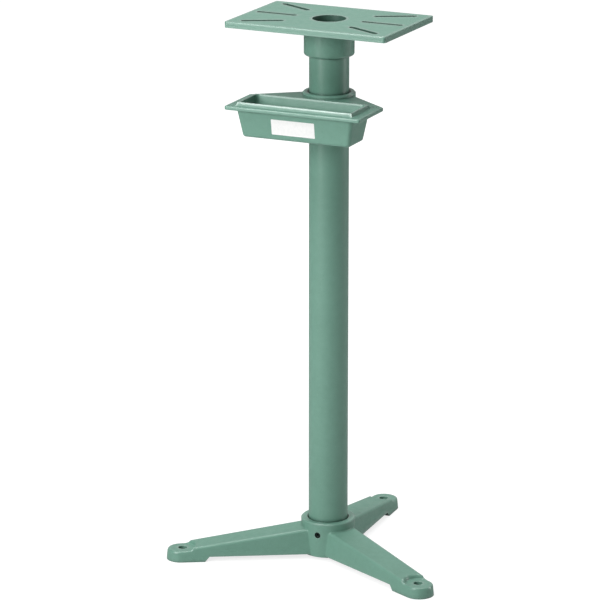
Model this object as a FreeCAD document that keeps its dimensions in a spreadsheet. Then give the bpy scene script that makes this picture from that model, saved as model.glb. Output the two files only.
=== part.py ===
"""Pedestal stand for a bench grinder: a three-legged cast base, a steel column, a cast coolant tray
that clamps round the column, and a cast, slotted table on top.  Set screws lock the castings.

Units are millimetres and degrees.  The origin is on the column's axis, on the floor.  X runs along
the table's long side, +Y is the rear and +Z is up.
"""

import FreeCAD, Part
import Sketcher
import math
import os
import re

DRIVING_SIZES = {
    # column: two-inch pipe
    "column_diameter": 60.3,
    "column_wall": 3.9,
    "column_end_chamfer": 0.8,
    # room round the column in the castings that are fixed to it, and at its two ends
    "bore_clearance": 0.35,
    "seat_gap": 0.3,
    # table casting
    "overall_height": 843.3,
    "table_length": 262.5,
    "table_width": 176,
    "table_thickness": 9.5,
    "table_draft": 1.5,
    "table_corner_radius": 4,
    "table_top_round": 1.6,
    "centre_hole_ledge": 4.65,
    "socket_wall": 7.5,
    "socket_depth": 45,
    "socket_mouth_round": 3.2,
    "socket_root_chamfer": 4,
    "socket_bore_chamfer": 1.5,
    # slots of the table: the end centres' places from the axis and from the table's edges
    "slot_width": 8.5,
    "slot_start": 57.8,
    "middle_slot_margin": 15.7,
    "corner_slot_start": 44.5,
    "corner_slot_side_margin": 24.3,
    "corner_slot_front_margin": 17.9,
    # tray casting
    "tray_angle": 1.2,
    "tray_gap": 55.7,
    "collar_wall": 9.2,
    "collar_height": 32,
    "collar_rise": 5.2,
    "collar_clearance": 0.7,
    "collar_mouth_chamfer": 2.5,
    "collar_edge_chamfer": 2.2,
    "flange_thickness": 6,
    "flange_side_margin": 15.4,
    "flange_front_margin": 8,
    "flange_rear_margin": 14.7,
    "flange_waist_radius": 28,
    "flange_corner_radius": 3.5,
    "flange_edge_round": 1.8,
    "rim_rise": 5.2,
    "rim_draft": 20,
    "trough_length": 187.6,
    "trough_width": 66.9,
    "trough_offset": 61,
    "trough_depth": 47.9,
    "trough_draft": 9.5,
    "trough_wall": 4.4,
    "trough_corner_radius": 6.5,
    "trough_bottom_round": 5,
    "trough_floor_round": 4,
    # base casting
    "base_angle": 92.1,
    "leg_count": 3,
    "hub_wall": 11.3,
    "hub_top": 60,
    "hub_draft": 1,
    "hub_edge_chamfer": 1.5,
    "hub_mouth_chamfer": 1.8,
    "hub_underside": 5.3,
    "hub_ledge": 5,
    "hub_ledge_width": 6.15,
    "hub_blend": 2,
    "underside_height": 7.9,
    "leg_top_at_foot": 24.5,
    "leg_slope": 8,
    "foot_start": 31.5,
    "leg_root_half_width": 29,
    "leg_draft": 5.5,
    "leg_edge_round": 5,
    "leg_wall": 6.5,
    "foot_circle_radius": 226,
    "foot_hole_diameter": 14,
    "foot_end_radius": 22.5,
    "foot_end_offset": 2.6,
    "foot_pad_height": 17,
    "scoop_radius": 20.5,
    "scoop_draft": 25,
    "scoop_root_round": 2.5,
    "scoop_lip_round": 3.5,
    "heel_start": 32.5,
    "heel_bevel": 7,
    # set screws
    "base_screw_diameter": 9.5,
    "base_screw_length": 9.5,
    "base_screw_height": 41,
    "base_screw_hexagon": 4.76,
    "table_screw_diameter": 8,
    "table_screw_length": 8,
    "table_screw_angle": 45,
    "table_screw_drop": 27,
    "table_screw_hexagon": 4,
    "tray_screw_diameter": 8,
    "tray_screw_length": 8,
    "tray_screw_drop": 20,
    "tray_screw_hexagon": 4,
    "screw_clearance": 0.1,
    "screw_chamfer": 1,
    "screw_hexagon_depth": 4,
}

SHEET_WORDS = {alias: f"Sizes.{alias}" for alias in DRIVING_SIZES}
UP = FreeCAD.Vector(0, 0, 1)
NEAR = 0.01

document = FreeCAD.newDocument("grinder_stand")
sheet = document.addObject("Spreadsheet::Sheet", "Sizes")
for row, (alias, size) in enumerate(DRIVING_SIZES.items(), start=1):
    sheet.set(f"A{row}", alias)
    sheet.set(f"B{row}", str(size))
    sheet.setAlias(f"B{row}", alias)
document.recompute()


# ---------------------------------------------------------------- expressions and sketches

def by_name(expression):
    """An expression in the sheet's words, with each word led by the sheet's name."""
    return re.sub(r"[a-z_]+", lambda word: SHEET_WORDS.get(word[0], word[0]), expression)


def value(expression):
    return float(sheet.evalExpression(by_name(expression)))


def bind(thing, prop, expression):
    thing.setExpression(prop, by_name(expression))


def origin_part(body, role):
    """An origin plane or axis of the body, as a link."""
    return next(item for item in body.Origin.OriginFeatures if item.Role == role), [""]


def sketch_on(body, name, role, offset="0"):
    """A sketch on one of the body's origin planes, moved along the plane's normal by the offset."""
    sketch = body.newObject("Sketcher::SketchObject", name)
    sketch.AttachmentSupport = origin_part(body, role)
    sketch.MapMode = "FlatFace"
    if offset != "0":
        bind(sketch, "AttachmentOffset.Base.z", offset)
    return sketch


def hold(sketch, kind, items, expression):
    """Adds one dimension to the sketch and ties it to the sheet."""
    index = sketch.addConstraint(Sketcher.Constraint(kind, *items, value(expression)))
    bind(sketch, f"Constraints[{index}]", expression)


def hold_point(sketch, curve, end, x, y):
    """Fixes a point of a curve (end 1, end 2 or centre 3) at x and y."""
    for kind, axis, coordinate in (("DistanceX", -2, x), ("DistanceY", -1, y)):
        if coordinate == "0":
            sketch.addConstraint(Sketcher.Constraint("PointOnObject", curve, end, axis))
        else:
            hold(sketch, kind, (-1, 1, curve, end), coordinate)


def vector(x, y):
    return FreeCAD.Vector(value(x), value(y), 0)


def draw_polygon(sketch, corners):
    """A closed outline of straight lines through the corners, each an x and a y expression."""
    first = sketch.GeometryCount
    count = len(corners)
    points = [vector(x, y) for x, y in corners]
    for i in range(count):
        sketch.addGeometry(Part.LineSegment(points[i], points[(i + 1) % count]), False)
    for i, (x, y) in enumerate(corners):
        before = first + (i - 1) % count
        sketch.addConstraint(Sketcher.Constraint("Coincident", before, 2, first + i, 1))
        hold_point(sketch, first + i, 1, x, y)


def draw_circle(sketch, x, y, radius):
    circle = Part.Circle(vector(x, y), UP, value(radius))
    curve = sketch.addGeometry(circle, False)
    hold_point(sketch, curve, 3, x, y)
    hold(sketch, "Radius", (curve,), radius)


def outer_tangent(start, end):
    """Direction from both centres to the outer tangent of two circles that follow anticlockwise."""
    (centre, radius), (next_centre, next_radius) = start, end
    along = next_centre - centre
    lean = (radius - next_radius) / along.Length
    along.normalize()
    outward = FreeCAD.Vector(along.y, -along.x, 0)
    return along * lean + outward * math.sqrt(1 - lean ** 2)


def draw_belt(sketch, rounds):
    """A closed outline like a belt round circles, anticlockwise; each is x, y and a radius."""
    circles = [(vector(x, y), value(radius)) for x, y, radius in rounds]
    count = len(circles)
    normals = [outer_tangent(circles[i], circles[(i + 1) % count]) for i in range(count)]
    lines, arcs = [], []
    for i, (centre, radius) in enumerate(circles):
        next_centre, next_radius = circles[(i + 1) % count]
        run = Part.LineSegment(centre + normals[i] * radius, next_centre + normals[i] * next_radius)
        lines.append(sketch.addGeometry(run, False))
        start, end = [math.atan2(normal.y, normal.x) for normal in (normals[i - 1], normals[i])]
        if end < start:
            end += 2 * math.pi
        bend = Part.ArcOfCircle(Part.Circle(centre, UP, radius), start, end)
        arcs.append(sketch.addGeometry(bend, False))
    for i, (x, y, radius) in enumerate(rounds):
        sketch.addConstraint(Sketcher.Constraint("Tangent", lines[i - 1], 2, arcs[i], 1))
        sketch.addConstraint(Sketcher.Constraint("Tangent", arcs[i], 2, lines[i], 1))
        hold_point(sketch, arcs[i], 3, x, y)
        hold(sketch, "Radius", (arcs[i],), radius)


def corner_rounds(left, right, front, rear, radius):
    """The four rounds of a rectangle with rounded corners, for draw_belt."""
    return [(f"{x} {x_in} {radius}", f"{y} {y_in} {radius}", radius)
            for x, x_in, y, y_in in ((left, "+", front, "+"), (right, "-", front, "+"),
                                     (right, "-", rear, "-"), (left, "+", rear, "-"))]


# ---------------------------------------------------------------- bodies and features

def new_body(name):
    body = document.addObject("PartDesign::Body", name)
    body.Label = name
    return body


def add_feature(body, kind, name, bound, **settings):
    """A feature of the body; the bound settings are expressions in the sheet's words."""
    item = body.newObject(f"PartDesign::{kind}", name)
    for prop, setting in settings.items():
        setattr(item, prop, setting)
    for prop, expression in bound.items():
        bind(item, prop, expression)
    document.recompute()
    return item


def cut_feature(body, kind, name, bound, **settings):
    """A feature that has to take material away."""
    volume = body.Shape.Volume
    item = add_feature(body, kind, name, bound, **settings)
    if body.Shape.Volume > volume - NEAR:
        raise RuntimeError(f"{name} cuts nothing from {body.Label}")
    return item


def pad_up(body, sketch, length, down=False):
    return add_feature(body, "Pad", f"{sketch.Name}Pad", {"Length": length},
                       Profile=sketch, Reversed=down)


def cut_both_ways(body, sketch, length):
    return cut_feature(body, "Pocket", f"{sketch.Name}Cut", {"Length": length},
                       Profile=sketch, SideType="Symmetric")


def edges_where(feature, everywhere, in_middle=lambda point: True, at_ends=lambda start, end: True):
    """The edges with their ends and middle in the first place, middle in the second, ends in the third."""
    names = []
    for i, edge in enumerate(feature.Shape.Edges, start=1):
        first, last = edge.FirstParameter, edge.LastParameter
        start, middle, end = [edge.valueAt(at) for at in (first, (first + last) / 2, last)]
        if all(map(everywhere, (start, middle, end))) and in_middle(middle) and at_ends(start, end):
            names.append(f"Edge{i}")
    return feature, names


def faces_where(feature, test):
    """The feature's faces whose centre and normal there pass the test."""
    names = []
    for i, face in enumerate(feature.Shape.Faces, start=1):
        centre = face.CenterOfMass
        if test(centre, face.normalAt(*face.Surface.parameter(centre))):
            names.append(f"Face{i}")
    return feature, names


def round_edges(body, name, edges, radius):
    return add_feature(body, "Fillet", name, {"Radius": radius}, Base=edges)


def chamfer_edges(body, name, edges, size):
    return add_feature(body, "Chamfer", name, {"Size": size}, Base=edges)


def draft_faces(body, name, faces, height, angle, downwards=False):
    """Leans faces inwards going up, or down, from the height where they stay as they are."""
    plane = origin_part(body, "XY_Plane")
    if height != "0":
        datum = body.newObject("PartDesign::Plane", f"{name}Plane")
        datum.AttachmentSupport = plane
        datum.MapMode = "FlatFace"
        bind(datum, "AttachmentOffset.Base.z", height)
        plane = (datum, [""])
    return add_feature(body, "Draft", name, {"Angle": angle},
                       Base=faces, NeutralPlane=plane, Reversed=downwards)


def radius_of(point):
    return math.hypot(point.x, point.y)


def at_radius(point, radius):
    return abs(radius_of(point) - radius) < NEAR


def level(height):
    """A test for points at one height."""
    wanted = value(height)
    return lambda point: abs(point.z - wanted) < NEAR


def screw_hole(body, name, direction, height, diameter, reach):
    """A round hole from the axis outwards, in the direction given from +X, at one height."""
    sketch = sketch_on(body, name, "XZ_Plane")
    turn = FreeCAD.Rotation(FreeCAD.Vector(0, 1, 0), 1)
    sketch.AttachmentOffset = FreeCAD.Placement(FreeCAD.Vector(), turn)
    bind(sketch, "AttachmentOffset.Rotation.Angle", f"{direction} + 90")
    draw_circle(sketch, "0", height, f"{diameter} / 2 + screw_clearance")
    return cut_feature(body, "Pocket", f"{name}Cut", {"Length": reach}, Profile=sketch, Reversed=True)


# ---------------------------------------------------------------- shared places

COLUMN_RADIUS = "(column_diameter / 2)"
FIXED_BORE = "(column_diameter / 2 + bore_clearance)"
HUB_RADIUS = "(column_diameter / 2 + bore_clearance + hub_wall)"
SOCKET_RADIUS = "(column_diameter / 2 + bore_clearance + socket_wall)"
COLLAR_BORE = "(column_diameter / 2 + collar_clearance)"
COLLAR_RADIUS = "(column_diameter / 2 + collar_clearance + collar_wall)"
LEDGE_TOP = "(hub_underside + hub_ledge)"
TABLE_UNDERSIDE = "(overall_height - table_thickness)"
SOCKET_MOUTH = "(overall_height - table_thickness - socket_depth)"
COLLAR_TOP = "(overall_height - table_thickness - socket_depth - tray_gap)"


# ---------------------------------------------------------------- base casting

LEG_ROOT = f"({HUB_RADIUS} * 2 / 3)"
LEG_ROOT_ROUND = f"({HUB_RADIUS} / 4)"
FOOT_CENTRE = "(foot_circle_radius + foot_end_offset)"


def leg_top(distance):
    """Height of a leg's sloping top at a distance from the column's axis."""
    return f"(leg_top_at_foot + (foot_circle_radius - foot_start - ({distance})) * tan(leg_slope))"


def leg_flank(distance, height):
    """Half of a leg's width at a distance from the axis and a height."""
    taper = f"(leg_root_half_width - foot_end_radius) / ({FOOT_CENTRE} - {LEG_ROOT})"
    return f"(leg_root_half_width - ({distance} - {LEG_ROOT}) * {taper} - ({height}) * tan(leg_draft))"


def make_leg(body):
    """One hollow leg along the body's X axis, from inside the hub to the round foot."""
    side = f"(leg_root_half_width - {LEG_ROOT_ROUND})"
    plan = sketch_on(body, "LegPlan", "XY_Plane")
    draw_belt(plan, [(LEG_ROOT, f"-{side}", LEG_ROOT_ROUND),
                     (FOOT_CENTRE, "0", "foot_end_radius"),
                     (LEG_ROOT, side, LEG_ROOT_ROUND)])
    leg = pad_up(body, plan, leg_top("0"))
    leg = draft_faces(body, "LegDraft", faces_where(leg, lambda centre, normal: abs(normal.z) < NEAR),
                      "0", "leg_draft")

    across = "4 * leg_root_half_width"
    beyond = f"({FOOT_CENTRE} + 2 * foot_end_radius)"
    above = sketch_on(body, "LegTop", "XZ_Plane")
    high = f"2 * {leg_top('0')}"
    draw_polygon(above, [("0", leg_top("0")), (beyond, leg_top(beyond)), (beyond, high), ("0", high)])
    leg = cut_both_ways(body, above, across)

    def on_top(point):
        return abs(point.z - value(leg_top(str(point.x)))) < NEAR

    outside_hub = value(LEG_ROOT)
    rim = edges_where(leg, on_top, lambda point: point.x > outside_hub)
    leg = round_edges(body, "LegRound", rim, "leg_edge_round")

    scoop = sketch_on(body, "Scoop", "XZ_Plane")
    rise = "(2 * leg_top_at_foot - foot_pad_height)"
    side = f"{FOOT_CENTRE} + scoop_radius"
    draw_polygon(scoop, [(FOOT_CENTRE, "foot_pad_height"), (side, "foot_pad_height"),
                         (f"{side} + {rise} * tan(scoop_draft)", "2 * leg_top_at_foot"),
                         (FOOT_CENTRE, "2 * leg_top_at_foot")])
    axis = Part.LineSegment(vector(FOOT_CENTRE, "0"), vector(FOOT_CENTRE, "foot_pad_height"))
    axis = scoop.addGeometry(axis, True)
    hold_point(scoop, axis, 1, FOOT_CENTRE, "0")
    hold_point(scoop, axis, 2, FOOT_CENTRE, "foot_pad_height")
    leg = cut_feature(body, "Groove", "ScoopCut", {}, Profile=scoop, ReferenceAxis=(scoop, ["Axis0"]))

    foot_centre, scoop_radius = vector(FOOT_CENTRE, "0"), value("scoop_radius")
    on_pad = level("foot_pad_height")

    def at_root(point):
        reach = math.hypot(point.x - foot_centre.x, point.y)
        return on_pad(point) and abs(reach - scoop_radius) < NEAR

    leg = round_edges(body, "ScoopRoot", edges_where(leg, at_root), "scoop_root_round")
    lip = edges_where(leg, lambda point: on_top(point) and point.x > 2 * outside_hub)
    leg = round_edges(body, "ScoopLip", lip, "scoop_lip_round")

    heel = "(foot_circle_radius - heel_start - heel_bevel)"
    notch = sketch_on(body, "Notch", "XZ_Plane")
    draw_polygon(notch, [("0", "-underside_height"), (f"{heel} + 2 * heel_bevel", "-underside_height"),
                         (heel, "underside_height"), ("0", "underside_height")])
    cut_both_ways(body, notch, across)

    sections = []
    for name, distance in (("HollowInner", f"{HUB_RADIUS} + leg_wall / 2"),
                           ("HollowOuter", f"{heel} - leg_wall")):
        section = sketch_on(body, name, "YZ_Plane", distance)
        low, high = "(-underside_height)", f"({leg_top(distance)} - leg_wall)"
        below, roof = [f"({leg_flank(distance, height)} - leg_wall)" for height in (low, high)]
        draw_polygon(section, [(f"-{below}", low), (below, low), (roof, high), (f"-{roof}", high)])
        sections.append(section)
    cut_feature(body, "SubtractiveLoft", "Hollow", {}, Profile=sections[0], Sections=sections[1:],
                Ruled=True)

    bolt = sketch_on(body, "BoltHole", "XY_Plane")
    draw_circle(bolt, "foot_circle_radius", "0", "foot_hole_diameter / 2")
    cut_both_ways(body, bolt, "4 * foot_pad_height")


def around_axis(body, name, features, count, **settings):
    pattern = add_feature(body, "PolarPattern", name, {"Occurrences": count}, Originals=features,
                          Axis=origin_part(body, "Z_Axis"), Angle=360, **settings)
    body.Tip = pattern
    document.recompute()
    return pattern


def make_base():
    body = new_body("base_casting")
    make_leg(body)
    around_axis(body, "Legs", [body.Tip], "leg_count", TransformMode="Whole shape")

    foot = f"{HUB_RADIUS} - (hub_top - hub_underside) * tan(hub_draft)"
    profile = sketch_on(body, "Hub", "XZ_Plane")
    draw_polygon(profile, [("0", "hub_underside"), (foot, "hub_underside"),
                           (HUB_RADIUS, "hub_top"), ("0", "hub_top")])
    axis = (profile, ["V_Axis"])
    hub = add_feature(body, "Revolution", "HubTurn", {}, Profile=profile, ReferenceAxis=axis)

    hub_radius, hub_top, lean = value(HUB_RADIUS), value("hub_top"), value("tan(hub_draft)")

    def on_hub(point):
        return abs(radius_of(point) - hub_radius + (hub_top - point.z) * lean) < NEAR

    low, high = value("underside_height") + NEAR, value("hub_top") - NEAR
    joints = edges_where(hub, on_hub, lambda point: low < point.z < high)
    hub = round_edges(body, "HubBlend", joints, "hub_blend")
    top = level("hub_top")
    rim = edges_where(hub, lambda point: top(point) and on_hub(point))
    chamfer_edges(body, "HubEdge", rim, "hub_edge_chamfer")

    hole = f"({COLUMN_RADIUS} - hub_ledge_width)"
    mouth = f"({FIXED_BORE} + hub_mouth_chamfer)"
    profile = sketch_on(body, "Bore", "XZ_Plane")
    draw_polygon(profile, [("0", "0"), (hole, "0"), (hole, LEDGE_TOP), (FIXED_BORE, LEDGE_TOP),
                           (FIXED_BORE, "hub_top - hub_mouth_chamfer"), (mouth, "hub_top"),
                           (mouth, "2 * hub_top"), ("0", "2 * hub_top")])
    cut_feature(body, "Groove", "BoreCut", {}, Profile=profile, ReferenceAxis=(profile, ["V_Axis"]))

    hole = screw_hole(body, "ScrewHole", "180", "base_screw_height", "base_screw_diameter",
                      f"2 * {HUB_RADIUS}")
    around_axis(body, "ScrewHoles", [hole], "leg_count")
    bind(body, "Placement.Rotation.Angle", "base_angle")
    return body


# ---------------------------------------------------------------- column

def make_column():
    body = new_body("column_tube")
    foot, head = f"({LEDGE_TOP} + seat_gap)", f"({TABLE_UNDERSIDE} - seat_gap)"
    ring = sketch_on(body, "Ring", "XY_Plane", foot)
    draw_circle(ring, "0", "0", COLUMN_RADIUS)
    draw_circle(ring, "0", "0", f"{COLUMN_RADIUS} - column_wall")
    tube = pad_up(body, ring, f"{head} - {foot}")
    outer, at_foot, at_head = value(COLUMN_RADIUS), level(foot), level(head)
    ends = edges_where(tube, lambda point: at_radius(point, outer) and (at_foot(point) or at_head(point)))
    chamfer_edges(body, "EndChamfer", ends, "column_end_chamfer")
    return body


# ---------------------------------------------------------------- table casting

TABLE_SCREW_ANGLES = {"left": "(90 + table_screw_angle)", "right": "(90 - table_screw_angle)"}


def slot_ends():
    """The end centres of each slot: one slot in the middle of each side and one towards each corner."""
    slots = []
    for side in ("", "-"):
        slots.append([(f"{side}slot_start", "0"), (f"{side}(table_length / 2 - middle_slot_margin)", "0")])
        for depth in ("", "-"):
            slots.append([(f"{side}slot_start", f"{depth}corner_slot_start"),
                          (f"{side}(table_length / 2 - corner_slot_side_margin)",
                           f"{depth}(table_width / 2 - corner_slot_front_margin)")])
    return slots


def make_table():
    body = new_body("table_casting")
    plan = sketch_on(body, "TablePlan", "XY_Plane", TABLE_UNDERSIDE)
    draw_belt(plan, corner_rounds("-table_length / 2", "table_length / 2",
                                  "-table_width / 2", "table_width / 2", "table_corner_radius"))
    table = pad_up(body, plan, "table_thickness")
    table = draft_faces(body, "TableDraft", faces_where(table, lambda centre, normal: abs(normal.z) < NEAR),
                        "overall_height", "table_draft", downwards=True)
    round_edges(body, "TableRound", edges_where(table, level("overall_height")), "table_top_round")

    openings = sketch_on(body, "Openings", "XY_Plane", "overall_height")
    for ends in slot_ends():
        draw_belt(openings, [(x, y, "slot_width / 2") for x, y in ends])
    draw_circle(openings, "0", "0", f"{COLUMN_RADIUS} - centre_hole_ledge")
    cut_feature(body, "Pocket", "OpeningsCut", {}, Profile=openings, Type="ThroughAll")
    add_socket(body)
    return body


def add_socket(body):
    """The ring below the table that takes the column's head, with its two screw holes at the rear."""
    ring = sketch_on(body, "Socket", "XY_Plane", TABLE_UNDERSIDE)
    draw_circle(ring, "0", "0", SOCKET_RADIUS)
    draw_circle(ring, "0", "0", FIXED_BORE)
    socket = pad_up(body, ring, "socket_depth", down=True)
    mouth, root = level(SOCKET_MOUTH), level(TABLE_UNDERSIDE)
    outer, inner = value(SOCKET_RADIUS), value(FIXED_BORE)
    socket = chamfer_edges(body, "SocketRoot", edges_where(
        socket, lambda point: root(point) and at_radius(point, outer)), "socket_root_chamfer")
    socket = round_edges(body, "SocketRound", edges_where(
        socket, lambda point: mouth(point) and at_radius(point, outer)), "socket_mouth_round")
    chamfer_edges(body, "SocketLead", edges_where(
        socket, lambda point: mouth(point) and at_radius(point, inner)), "socket_bore_chamfer")
    for side, angle in TABLE_SCREW_ANGLES.items():
        screw_hole(body, f"{side.title()}Screw", angle, f"{TABLE_UNDERSIDE} - table_screw_drop",
                   "table_screw_diameter", f"2 * {SOCKET_RADIUS}")


# ---------------------------------------------------------------- tray casting

FLANGE_TOP = f"({COLLAR_TOP} - collar_rise)"
FLANGE_UNDERSIDE = f"({FLANGE_TOP} - flange_thickness)"
RIM_TOP = f"({FLANGE_TOP} + rim_rise)"
TROUGH_BOTTOM = f"({FLANGE_TOP} - trough_depth)"
TROUGH_FLOOR = f"({TROUGH_BOTTOM} + trough_wall)"


def draw_trough(sketch, inset):
    """The trough's outline as a rectangle, moved inwards by the inset."""
    side = f"(trough_length / 2 - ({inset}))"
    front, rear = f"-(trough_offset + trough_width - ({inset}))", f"-(trough_offset + ({inset}))"
    draw_polygon(sketch, [(f"-{side}", front), (side, front), (side, rear), (f"-{side}", rear)])


def in_trough(low, high, inset="0"):
    """A test for points between two heights, not outside the trough's outline moved inwards."""
    bottom, top = value(low), value(high)
    side = value(f"trough_length / 2 - ({inset})") + NEAR
    front = value(f"-(trough_offset + trough_width - ({inset}))") - NEAR
    rear = value(f"-(trough_offset + ({inset}))") + NEAR
    return lambda point: bottom < point.z < top and abs(point.x) < side and front < point.y < rear


def upright_walls(feature, test):
    return faces_where(feature, lambda centre, normal: test(centre) and abs(normal.z) < NEAR)


def corner_edges(feature, low, high, test):
    """Edges that run up a wall from the low height to the high one."""
    bottom, top = level(low), level(high)
    return edges_where(feature, lambda point: True, test, lambda start, end: (
        bottom(start) and top(end) or top(start) and bottom(end)))


def add_plate_and_collar(body):
    side = "(trough_length / 2 + flange_side_margin)"
    front = "-(trough_offset + trough_width + flange_front_margin)"
    rear = "-(trough_offset - flange_rear_margin)"
    rounds = corner_rounds(f"-{side}", side, front, rear, "flange_corner_radius")
    rounds.insert(3, ("0", "0", "flange_waist_radius"))
    plate = sketch_on(body, "Plate", "XY_Plane", FLANGE_UNDERSIDE)
    draw_belt(plate, rounds)
    plate = pad_up(body, plate, "flange_thickness")
    top, underside = level(FLANGE_TOP), level(FLANGE_UNDERSIDE)
    rims = edges_where(plate, lambda point: top(point) or underside(point))
    round_edges(body, "PlateRound", rims, "flange_edge_round")

    collar = sketch_on(body, "Collar", "XY_Plane", COLLAR_TOP)
    draw_circle(collar, "0", "0", COLLAR_RADIUS)
    collar = pad_up(body, collar, "collar_height", down=True)
    outer, head, foot = value(COLLAR_RADIUS), level(COLLAR_TOP), level(f"{COLLAR_TOP} - collar_height")
    ends = edges_where(collar, lambda point: at_radius(point, outer) and (head(point) or foot(point)))
    chamfer_edges(body, "CollarEdges", ends, "collar_edge_chamfer")


def add_trough(body):
    rim = sketch_on(body, "Rim", "XY_Plane", FLANGE_TOP)
    draw_trough(rim, "0")
    rim = pad_up(body, rim, "rim_rise")
    around = upright_walls(rim, in_trough(FLANGE_TOP, RIM_TOP))
    draft_faces(body, "RimDraft", around, FLANGE_TOP, "rim_draft")
    trough = sketch_on(body, "Trough", "XY_Plane", FLANGE_UNDERSIDE)
    draw_trough(trough, "0")
    trough = pad_up(body, trough, f"{FLANGE_UNDERSIDE} - {TROUGH_BOTTOM}", down=True)
    inside = in_trough(TROUGH_BOTTOM, FLANGE_UNDERSIDE)
    walls = upright_walls(trough, inside)
    trough = draft_faces(body, "TroughDraft", walls, FLANGE_UNDERSIDE, "trough_draft", downwards=True)
    corners = corner_edges(trough, TROUGH_BOTTOM, FLANGE_UNDERSIDE, inside)
    trough = round_edges(body, "TroughCorners", corners, "trough_corner_radius")
    round_edges(body, "TroughRound", edges_where(trough, level(TROUGH_BOTTOM)), "trough_bottom_round")


def cut_trough(body):
    cavity = sketch_on(body, "Cavity", "XY_Plane", RIM_TOP)
    depth = f"({RIM_TOP} - {TROUGH_FLOOR})"
    draw_trough(cavity, f"trough_wall + {depth} * tan(trough_draft)")
    cavity = cut_feature(body, "Pocket", "CavityCut", {"Length": depth}, Profile=cavity)
    inside = in_trough(TROUGH_FLOOR, RIM_TOP, "trough_wall")
    cavity = draft_faces(body, "CavityDraft", upright_walls(cavity, inside), TROUGH_FLOOR, "trough_draft")
    corners = corner_edges(cavity, TROUGH_FLOOR, RIM_TOP, inside)
    cavity = round_edges(body, "CavityCorners", corners, "trough_corner_radius")
    round_edges(body, "CavityFloor", edges_where(cavity, level(TROUGH_FLOOR)), "trough_floor_round")


def make_tray():
    body = new_body("tray_casting")
    add_plate_and_collar(body)
    add_trough(body)
    cut_trough(body)

    mouth = f"({COLLAR_BORE} + collar_mouth_chamfer)"
    below, above = f"({COLLAR_TOP} - 2 * collar_height)", f"({COLLAR_TOP} + collar_height)"
    profile = sketch_on(body, "Bore", "XZ_Plane")
    draw_polygon(profile, [("0", below), (COLLAR_BORE, below),
                           (COLLAR_BORE, f"{COLLAR_TOP} - collar_mouth_chamfer"),
                           (mouth, COLLAR_TOP), (mouth, above), ("0", above)])
    cut_feature(body, "Groove", "BoreCut", {}, Profile=profile, ReferenceAxis=(profile, ["V_Axis"]))
    screw_hole(body, "ScrewHole", "90", f"{COLLAR_TOP} - tray_screw_drop", "tray_screw_diameter",
               f"2 * {COLLAR_RADIUS}")
    bind(body, "Placement.Rotation.Angle", "tray_angle")
    return body


# ---------------------------------------------------------------- set screws

def make_screw(name, kind, angle, height):
    """A flat-point set screw made along the body's X axis from the column outwards, turned to its angle."""
    body = new_body(name)
    tip = f"({COLUMN_RADIUS} + seat_gap)"
    head = f"({tip} + {kind}_screw_length)"
    radius = f"({kind}_screw_diameter / 2)"
    profile = sketch_on(body, "Profile", "XZ_Plane")
    draw_polygon(profile, [(tip, "0"), (tip, f"{radius} - screw_chamfer"),
                           (f"{tip} + screw_chamfer", radius), (head, radius), (head, "0")])
    add_feature(body, "Revolution", "ProfileTurn", {}, Profile=profile, ReferenceAxis=(profile, ["H_Axis"]))
    hexagon = sketch_on(body, "Hexagon", "YZ_Plane", head)
    reach = f"{kind}_screw_hexagon / 2 / cos(30)"
    draw_polygon(hexagon, [(f"{reach} * cos({turn})", f"{reach} * sin({turn})")
                           for turn in range(0, 360, 60)])
    cut_feature(body, "Pocket", "HexagonCut", {"Length": "screw_hexagon_depth"}, Profile=hexagon)
    bind(body, "Placement.Base.z", height)
    bind(body, "Placement.Rotation.Angle", angle)
    return body


def make_screws():
    screws = []
    for number, place in enumerate(("front", "right", "left")):
        angle = f"base_angle + 180 + {number} * 360 / leg_count"
        screws.append(make_screw(f"base_set_screw_{place}", "base", angle, "base_screw_height"))
    for side, angle in TABLE_SCREW_ANGLES.items():
        screws.append(make_screw(f"table_set_screw_{side}", "table", angle,
                                 f"{TABLE_UNDERSIDE} - table_screw_drop"))
    screws.append(make_screw("tray_set_screw", "tray", "tray_angle + 90",
                             f"{COLLAR_TOP} - tray_screw_drop"))
    return screws


# ---------------------------------------------------------------- build, check and write

PIECES = [make_base(), make_column(), make_table(), make_tray(), *make_screws()]
document.recompute()

for item in document.Objects:
    if "Invalid" in item.State or "Error" in item.State:
        raise RuntimeError(f"{item.Name} failed: {item.State}")
for body in PIECES:
    if body.Shape.isNull() or not body.Shape.isValid() or len(body.Shape.Solids) != 1:
        raise RuntimeError(f"{body.Label} isn't one valid solid")

os.makedirs("parts", exist_ok=True)
for body in PIECES:
    body.Shape.exportStep(f"parts/{body.Label}.step")
    print(f"{body.Label}: {body.Shape.Volume / 1000:.1f} cm3, {len(body.Shape.Faces)} faces")
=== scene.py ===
"""Bench grinder stand: green enamel on the castings and the column, blackened set screws, a blank label on the
coolant tray, a white floor and studio lamps.  Metres; +Z up, the tray at the front (-Y)."""

import math

import bmesh
import bpy
from mathutils import Matrix, Vector


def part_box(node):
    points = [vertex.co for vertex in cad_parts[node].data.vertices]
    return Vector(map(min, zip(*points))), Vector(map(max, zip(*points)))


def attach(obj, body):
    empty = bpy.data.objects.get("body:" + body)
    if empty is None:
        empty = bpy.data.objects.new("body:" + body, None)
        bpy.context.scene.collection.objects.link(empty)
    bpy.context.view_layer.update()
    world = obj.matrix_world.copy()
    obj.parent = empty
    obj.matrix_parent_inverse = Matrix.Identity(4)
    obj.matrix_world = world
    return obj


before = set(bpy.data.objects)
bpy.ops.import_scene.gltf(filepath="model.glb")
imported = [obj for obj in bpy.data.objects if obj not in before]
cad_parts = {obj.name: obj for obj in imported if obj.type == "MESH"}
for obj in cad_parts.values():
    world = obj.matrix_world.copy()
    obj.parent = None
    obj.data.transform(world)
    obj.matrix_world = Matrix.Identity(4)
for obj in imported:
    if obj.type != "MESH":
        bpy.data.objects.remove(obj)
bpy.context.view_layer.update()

MM = 0.001


# ---------------------------------------------------------------- node trees

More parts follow.
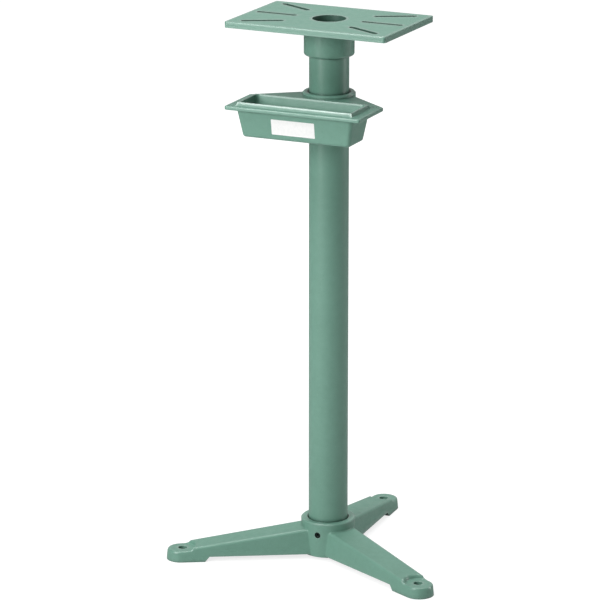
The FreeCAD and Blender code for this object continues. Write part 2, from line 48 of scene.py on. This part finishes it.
class Tree:
    """A material's or the world's nodes, made and joined in plain calls."""

    def __init__(self, owner):
        owner.use_nodes = True
        self.tree = owner.node_tree
        self.tree.nodes.clear()

    def node(self, kind, settings=None, **inputs):
        """A new node; an input is named with _ for each space and takes a socket or a value."""
        made = self.tree.nodes.new(kind)
        for name, setting in (settings or {}).items():
            setattr(made, name, setting)
        for name, source in inputs.items():
            self.feed(made.inputs[name.replace("_", " ")], source)
        return made

    def feed(self, socket, source):
        if isinstance(source, bpy.types.NodeSocket):
            self.tree.links.new(source, socket)
        else:
            socket.default_value = source

    def pair(self, node, first, second):
        """Feed a node's first two inputs, which share one name."""
        self.feed(node.inputs[0], first)
        self.feed(node.inputs[1], second)
        return node

    def math(self, operation, first, second=0.0):
        return self.pair(self.node("ShaderNodeMath", {"operation": operation}), first, second).outputs[0]

    def dot(self, first, second):
        made = self.node("ShaderNodeVectorMath", {"operation": "DOT_PRODUCT"})
        return self.pair(made, first, second).outputs["Value"]

    def split(self, vector):
        return self.node("ShaderNodeSeparateXYZ", Vector=vector).outputs

    def noise(self, place, scale, detail, roughness):
        made = self.node("ShaderNodeTexNoise", Vector=place, Scale=scale, Detail=detail, Roughness=roughness)
        return made.outputs["Fac"]

    def remap(self, value, low, high, to_low=0.0, to_high=1.0):
        made = self.node("ShaderNodeMapRange", Value=value, From_Min=low, From_Max=high,
                         To_Min=to_low, To_Max=to_high)
        return made.outputs["Result"]

    def blend(self, amount, first, second):
        """The first colour turned into the second by the amount."""
        made = self.node("ShaderNodeMix", {"data_type": "RGBA"})
        self.feed(made.inputs["Factor"], amount)
        self.feed(made.inputs["A"], first)
        self.feed(made.inputs["B"], second)
        return next(output for output in made.outputs if output.type == "RGBA")

    def place(self):
        return self.node("ShaderNodeTexCoord").outputs["Object"]

    def normal(self):
        return self.node("ShaderNodeNewGeometry").outputs["Normal"]

    def output(self, shader, kind="ShaderNodeOutputMaterial"):
        self.node(kind, Surface=shader)


def opaque(colour):
    return (*colour, 1.0)


def new_material(name):
    material = bpy.data.materials.new(name)
    return material, Tree(material)


# ---------------------------------------------------------------- enamel

# one green on castings and column: lighter where it is thick, deeper in pits, with painted highlight specks on the
# grain, painted shade in corners and openings, and edges pale where worn and where a highlight is painted
ENAMEL_GREEN = (0.128, 0.265, 0.205)
ENAMEL_LIGHT = (0.162, 0.324, 0.255)
ENAMEL_DEEP = (0.088, 0.207, 0.153)
ENAMEL_PAINTED_SHADE = (0.020, 0.052, 0.038)
ENAMEL_WORN_EDGE_HIGHLIGHT = (0.30, 0.50, 0.42)

# noise cells per metre
CLOUD_SCALE = 11.0
MOTTLE_SCALE = 95.0

# painted shade in corners and openings: how far around a point is looked at, and how strongly it is darkened
SHADE_REACH = 12 * MM
SHADE_IN_CORNERS = 0.85
SHADE_IN_OPENINGS = 0.75

# the table's plate, and the rim of it that has no slots
PLATE_THICKNESS = 9.5 * MM
PLATE_RIM = 6 * MM

# clear coat: hardly any on flat faces, full along the outer corners
COAT_ON_FACES = 0.04
COAT_ON_CORNERS = 1.0
COAT_ROUGHNESS = 0.22

# how deep the metal is felt for a corner, which is less than the casting's walls are thick
THICK_WALL_CORNER = 6.2 * MM
THIN_WALL_CORNER = 3.6 * MM

BEVEL_SAMPLES = 6
OCCLUSION_SAMPLES = 8

# grain and peel are noise cells per metre
CASTING_FINISH = {"grain": 420.0, "peel": 1500.0, "grain_depth": 0.15 * MM, "roughness": 0.42, "specular": 0.38,
                  "edge_radius": 1.6 * MM}
COLUMN_FINISH = {"grain": 620.0, "peel": 1900.0, "grain_depth": 0.03 * MM, "roughness": 0.34, "specular": 0.50,
                 "edge_radius": 0.8 * MM}


def edge_amount(tree, radius):
    """The normal rounded over edges, and how far a point lies on an edge, from the turn of that normal."""
    rounded = tree.node("ShaderNodeBevel", {"samples": BEVEL_SAMPLES}, Radius=radius).outputs["Normal"]
    return rounded, tree.remap(tree.dot(rounded, tree.normal()), 0.99, 0.80)


def corner_shade_amount(tree):
    """1 in tight inner corners, where shade is painted into the colour, and 0 on open faces."""
    open_share = tree.node("ShaderNodeAmbientOcclusion", {"samples": OCCLUSION_SAMPLES}, Distance=SHADE_REACH)
    return tree.remap(open_share.outputs["AO"], 0.68, 0.38)


def opening_shade_amount(tree, place):
    """1 on the upright walls of the table's slots and centre hole, where shade is painted, 0 everywhere else."""
    half_length, half_width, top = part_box("table_casting")[1]
    spot = tree.split(place)
    upright = tree.math("LESS_THAN", tree.math("ABSOLUTE", tree.split(tree.normal())["Z"]), 0.5)
    in_length = tree.math("LESS_THAN", tree.math("ABSOLUTE", spot["X"]), half_length - PLATE_RIM)
    in_width = tree.math("LESS_THAN", tree.math("ABSOLUTE", spot["Y"]), half_width - PLATE_RIM)
    in_plate = tree.math("GREATER_THAN", spot["Z"], top - PLATE_THICKNESS)
    inside = tree.math("MULTIPLY", tree.math("MULTIPLY", in_length, in_width), in_plate)
    return tree.math("MULTIPLY", inside, upright)


def corner_amount(tree, depth):
    """1 along the rounded outer corners, where hands and cloths polish the enamel, and 0 on flat faces."""
    settings = {"samples": OCCLUSION_SAMPLES, "inside": True, "only_local": True}
    solid_share = tree.node("ShaderNodeAmbientOcclusion", settings, Distance=depth)
    return tree.remap(solid_share.outputs["AO"], 0.95, 0.78)


def enamel(name, grain, peel, grain_depth, roughness, specular, edge_radius, corner_depth=None):
    """Satin green enamel: cloudy thickness, grain of the metal below with painted highlight specks, orange peel,
    painted shade in corners and openings, and thin edges pale from wear and a painted highlight.
    """
    material, tree = new_material(name)
    place = tree.place()
    rounded, edge = edge_amount(tree, edge_radius)

    clouds = tree.noise(place, CLOUD_SCALE, 4.0, 0.6)
    mottle = tree.noise(place, MOTTLE_SCALE, 3.0, 0.55)
    sand = tree.noise(place, grain, 4.0, 0.62)
    skin = tree.noise(place, peel, 2.0, 0.5)

    thick = tree.remap(clouds, 0.32, 0.68, 0.0, 0.30)
    colour = tree.blend(thick, opaque(ENAMEL_GREEN), opaque(ENAMEL_LIGHT))
    colour = tree.blend(tree.remap(mottle, 0.35, 0.70, 0.0, 0.16), colour, opaque(ENAMEL_DEEP))
    # painted highlight: lighter specks on the grain's high points, where the bump is raised
    grain_top_highlight = tree.remap(sand, 0.60, 0.74, 0.0, 0.75)
    colour = tree.blend(grain_top_highlight, colour, opaque(ENAMEL_LIGHT))
    pits = tree.remap(sand, 0.38, 0.26, 0.0, 0.75)
    colour = tree.blend(pits, colour, opaque(ENAMEL_DEEP))
    # edges are paler: partly worn paint, partly a painted highlight along the rounded edges
    worn_and_highlight = tree.math("MULTIPLY", edge, tree.remap(mottle, 0.35, 0.65, 0.30, 0.85))
    colour = tree.blend(worn_and_highlight, colour, opaque(ENAMEL_WORN_EDGE_HIGHLIGHT))
    # painted shade: darker in tight corners and on the slot and centre-hole walls, where less light reaches
    painted_shade = tree.math("MAXIMUM", tree.math("MULTIPLY", corner_shade_amount(tree), SHADE_IN_CORNERS),
                      tree.math("MULTIPLY", opening_shade_amount(tree, place), SHADE_IN_OPENINGS))
    colour = tree.blend(painted_shade, colour, opaque(ENAMEL_PAINTED_SHADE))

    height = tree.math("ADD", sand, tree.math("MULTIPLY", skin, 0.45))
    bump = tree.node("ShaderNodeBump", Strength=1.0, Distance=grain_depth, Height=height, Normal=rounded)
    coat = COAT_ON_FACES
    if corner_depth is not None:
        coat = tree.remap(corner_amount(tree, corner_depth), 0.0, 1.0, COAT_ON_FACES, COAT_ON_CORNERS)
    shader = tree.node("ShaderNodeBsdfPrincipled", Base_Color=colour, Normal=bump.outputs["Normal"],
                       Roughness=tree.remap(mottle, 0.3, 0.7, roughness - 0.04, roughness + 0.06),
                       Specular_IOR_Level=specular, Coat_Weight=coat, Coat_Roughness=COAT_ROUGHNESS)
    tree.output(shader.outputs["BSDF"])
    return material


# ---------------------------------------------------------------- set screws

OXIDE_DARK = (0.014, 0.024, 0.020)
OXIDE_LIGHT = (0.034, 0.058, 0.047)
OXIDE_RUBBED = (0.10, 0.17, 0.14)


def black_oxide():
    """Blackened alloy steel under a thin green overspray, with rubbed edges."""
    material, tree = new_material("screw_black_oxide")
    rounded, edge = edge_amount(tree, 0.3 * MM)
    tint = tree.noise(tree.place(), 420.0, 3.0, 0.6)
    colour = tree.blend(tree.remap(tint, 0.35, 0.7), opaque(OXIDE_DARK), opaque(OXIDE_LIGHT))
    colour = tree.blend(tree.math("MULTIPLY", edge, 0.6), colour, opaque(OXIDE_RUBBED))
    bump = tree.node("ShaderNodeBump", Strength=0.4, Distance=0.05 * MM, Height=tint, Normal=rounded)
    shader = tree.node("ShaderNodeBsdfPrincipled", Base_Color=colour, Metallic=0.85,
                       Roughness=tree.remap(tint, 0.3, 0.7, 0.32, 0.50), Normal=bump.outputs["Normal"])
    tree.output(shader.outputs["BSDF"])
    return material


def finish_nodes():
    casting = enamel("casting_enamel_finish", **CASTING_FINISH, corner_depth=THICK_WALL_CORNER)
    others = {"tray_casting": enamel("thin_casting_enamel_finish", **CASTING_FINISH, corner_depth=THIN_WALL_CORNER),
              "column_tube": enamel("column_enamel_finish", **COLUMN_FINISH)}
    screw = black_oxide()
    for name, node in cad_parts.items():
        node.data.materials.clear()
        node.data.materials.append(screw if "screw" in name else others.get(name, casting))


# ---------------------------------------------------------------- the label

VINYL_WHITE = (0.76, 0.76, 0.75)
VINYL_FLECK = (0.71, 0.72, 0.71)

LABEL_WIDTH = 69.6 * MM
LABEL_HEIGHT = 23.8 * MM
LABEL_THICKNESS = 0.12 * MM
LABEL_CORNER = 0.8 * MM
LABEL_OFF_CENTRE = -2.6 * MM
LABEL_BELOW_WALL_TOP = 21.2 * MM

# the tray's front wall, which carries the label
TRAY_TURN = math.radians(1.2)
WALL_LEAN = math.radians(9.5)
WALL_TOP_DISTANCE = 127.9 * MM
WALL_TOP_BELOW_COLLAR = 11.2 * MM


def label_vinyl():
    """White vinyl, faintly flecked, that follows the grain under it."""
    material, tree = new_material("label_vinyl")
    place = tree.place()
    fleck = tree.noise(place, 300.0, 3.0, 0.55)
    ripple = tree.noise(place, 120.0, 2.0, 0.5)
    colour = tree.blend(tree.remap(fleck, 0.4, 0.7), opaque(VINYL_WHITE), opaque(VINYL_FLECK))
    bump = tree.node("ShaderNodeBump", Strength=0.5, Distance=0.12 * MM, Height=ripple)
    shader = tree.node("ShaderNodeBsdfPrincipled", Base_Color=colour, Specular_IOR_Level=0.45,
                       Roughness=tree.remap(fleck, 0.3, 0.7, 0.28, 0.38), Normal=bump.outputs["Normal"])
    tree.output(shader.outputs["BSDF"])
    return material


def make_label():
    """A blank label stuck to the trough's leaning front wall."""
    mesh = bmesh.new()
    bmesh.ops.create_grid(mesh, x_segments=1, y_segments=1, size=0.5)
    bmesh.ops.scale(mesh, vec=(LABEL_WIDTH, LABEL_HEIGHT, 1), verts=mesh.verts)
    bmesh.ops.bevel(mesh, geom=mesh.verts[:], offset=LABEL_CORNER, segments=4, profile=0.5,
                    affect="VERTICES", material=-1)
    front = bmesh.ops.extrude_face_region(mesh, geom=mesh.faces[:])["geom"]
    lifted = [item for item in front if isinstance(item, bmesh.types.BMVert)]
    bmesh.ops.translate(mesh, vec=(0, 0, LABEL_THICKNESS), verts=lifted)
    bmesh.ops.recalc_face_normals(mesh, faces=mesh.faces)

    collar_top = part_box("tray_casting")[1][2]
    centre_height = collar_top - WALL_TOP_BELOW_COLLAR - LABEL_BELOW_WALL_TOP
    centre_front = -WALL_TOP_DISTANCE + LABEL_BELOW_WALL_TOP * math.tan(WALL_LEAN)
    place = (Matrix.Rotation(TRAY_TURN, 4, "Z")
             @ Matrix.Translation((LABEL_OFF_CENTRE, centre_front, centre_height))
             @ Matrix.Rotation(math.pi / 2 + WALL_LEAN, 4, "X"))
    bmesh.ops.transform(mesh, matrix=place, verts=mesh.verts)
    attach(new_object("tray_label", mesh, label_vinyl()), "tray")


def new_object(name, mesh, material):
    data = bpy.data.meshes.new(name)
    mesh.to_mesh(data)
    mesh.free()
    data.materials.append(material)
    made = bpy.data.objects.new(name, data)
    bpy.context.collection.objects.link(made)
    return made


# ---------------------------------------------------------------- floor and room

# the camera looks from the front right, a little above the table
CAMERA_PLACE = (2.2293, -4.7099, 1.9048)
CAMERA_TILT = 73.966
CAMERA_TURN = 25.808
CAMERA_LENS = 213.785
SENSOR_WIDTH = 36
CAMERA_REACH = 60

FLOOR_HALF = 12.0
PAPER_WHITE = (0.78, 0.78, 0.78)
# the floor as the camera sees it: a glow that grows away from the stand, and a lit share that takes its shadow
SHADOW_SHARE = (0.30, 0.30, 0.30)
GLOW_NEAR, GLOW_FAR = 0.80, 1.0
GLOW_NEAR_RADIUS, GLOW_FAR_RADIUS = 0.4, 2.5

# strengths that gloss shows: the floor, the room on the camera's side and the backdrop behind the stand
FLOOR_IN_GLOSS = 0.10
ROOM_IN_GLOSS = 0.05
BACKDROP_IN_GLOSS = 0.64
# the backdrop's side edges as cosines from straight behind; its foot is dimmer up to a sine above the horizon
BACKDROP_OUTER, BACKDROP_INNER = 0.45, 0.85
BACKDROP_FOOT_SHARE = 0.35
BACKDROP_FOOT_TOP = 0.26

WHITE = (1, 1, 1)


def floor_paper():
    """White paper that lights the stand as paper does, and is near white wherever it is seen."""
    material, tree = new_material("floor_paper")
    paper = tree.node("ShaderNodeBsdfDiffuse", Color=opaque(PAPER_WHITE))
    shadowed = tree.node("ShaderNodeBsdfDiffuse", Color=opaque(SHADOW_SHARE))
    rays = tree.node("ShaderNodeLightPath").outputs
    spread = tree.node("ShaderNodeVectorMath", {"operation": "LENGTH"})
    tree.feed(spread.inputs[0], tree.place())
    seen_level = tree.remap(spread.outputs["Value"], GLOW_NEAR_RADIUS, GLOW_FAR_RADIUS, GLOW_NEAR, GLOW_FAR)
    level = tree.node("ShaderNodeMix", Factor=rays["Is Glossy Ray"], A=seen_level, B=FLOOR_IN_GLOSS)
    glow = tree.node("ShaderNodeEmission", Color=opaque(WHITE), Strength=level.outputs["Result"])
    lit = tree.pair(tree.node("ShaderNodeAddShader"), shadowed.outputs[0], glow.outputs[0])
    seen = tree.math("MAXIMUM", rays["Is Camera Ray"], rays["Is Glossy Ray"])
    seen = tree.math("MAXIMUM", seen, rays["Is Transmission Ray"])
    mix = tree.node("ShaderNodeMixShader", Fac=seen)
    tree.feed(mix.inputs[1], paper.outputs[0])
    tree.feed(mix.inputs[2], lit.outputs[0])
    tree.output(mix.outputs[0])
    return material


def make_floor():
    mesh = bmesh.new()
    bmesh.ops.create_grid(mesh, x_segments=1, y_segments=1, size=FLOOR_HALF)
    new_object("floor", mesh, floor_paper())


def make_world():
    """White for the camera; in gloss, white behind the stand and a dimmer room on the camera's side."""
    world = bpy.data.worlds.new("studio")
    bpy.context.scene.world = world
    tree = Tree(world)
    rays = tree.node("ShaderNodeLightPath").outputs
    direction = tree.node("ShaderNodeTexCoord").outputs["Generated"]
    length = math.hypot(*CAMERA_PLACE[:2])
    away = tree.dot(direction, (-CAMERA_PLACE[0] / length, -CAMERA_PLACE[1] / length, 0))
    around = tree.remap(away, BACKDROP_OUTER, BACKDROP_INNER, ROOM_IN_GLOSS, BACKDROP_IN_GLOSS)
    foot = tree.remap(tree.split(direction)["Z"], 0.0, BACKDROP_FOOT_TOP, BACKDROP_FOOT_SHARE, 1.0)
    in_gloss = tree.math("MULTIPLY", rays["Is Glossy Ray"], tree.math("MULTIPLY", around, foot))
    direct = tree.math("MAXIMUM", rays["Is Camera Ray"], rays["Is Transmission Ray"])
    strength = tree.math("MAXIMUM", direct, in_gloss)
    background = tree.node("ShaderNodeBackground", Color=opaque(WHITE), Strength=strength)
    tree.output(background.outputs[0], "ShaderNodeOutputWorld")


# ---------------------------------------------------------------- lamps and camera

# name, direction from the camera's side (degrees, left is negative), height (degrees), size, watts
LAMPS = [
    ("key", -43, 24, (1.2, 1.2), 68),
    ("strip", -50, 6, (0.9, 1.5), 18),
    ("over", -60, 60, (1.5, 1.5), 38),
    ("front", 6, 60, (0.8, 0.8), 12),
    ("side", 100, 10, (0.9, 1.6), 29),
    ("far", 125, 42, (1.2, 1.2), 12),
    ("rear", 180, 70, (1.5, 1.5), 61),
]
LAMP_DISTANCE = 3.2
LAMP_AIM = Vector((0, 0, 0.45))


def make_lamps():
    camera_side = math.atan2(CAMERA_PLACE[1], CAMERA_PLACE[0])
    for name, turn, height, (width, tall), watts in LAMPS:
        data = bpy.data.lights.new(f"lamp_{name}", "AREA")
        data.shape = "RECTANGLE"
        data.size, data.size_y = width, tall
        data.energy = watts
        lamp = bpy.data.objects.new(f"lamp_{name}", data)
        bpy.context.collection.objects.link(lamp)
        around, up = camera_side + math.radians(turn), math.radians(height)
        away = Vector((math.cos(around) * math.cos(up), math.sin(around) * math.cos(up), math.sin(up)))
        lamp.location = LAMP_AIM + away * LAMP_DISTANCE
        lamp.rotation_euler = away.to_track_quat("Z", "Y").to_euler()


def make_camera():
    data = bpy.data.cameras.new("camera")
    data.lens = CAMERA_LENS
    data.sensor_width = SENSOR_WIDTH
    data.clip_end = CAMERA_REACH
    camera = bpy.data.objects.new("camera", data)
    bpy.context.collection.objects.link(camera)
    camera.location = CAMERA_PLACE
    camera.rotation_euler = (math.radians(CAMERA_TILT), 0, math.radians(CAMERA_TURN))
    bpy.context.scene.camera = camera


make_camera()
finish_nodes()
make_label()
make_floor()
make_world()
make_lamps()
bpy.context.scene.view_settings.view_transform = "Standard"
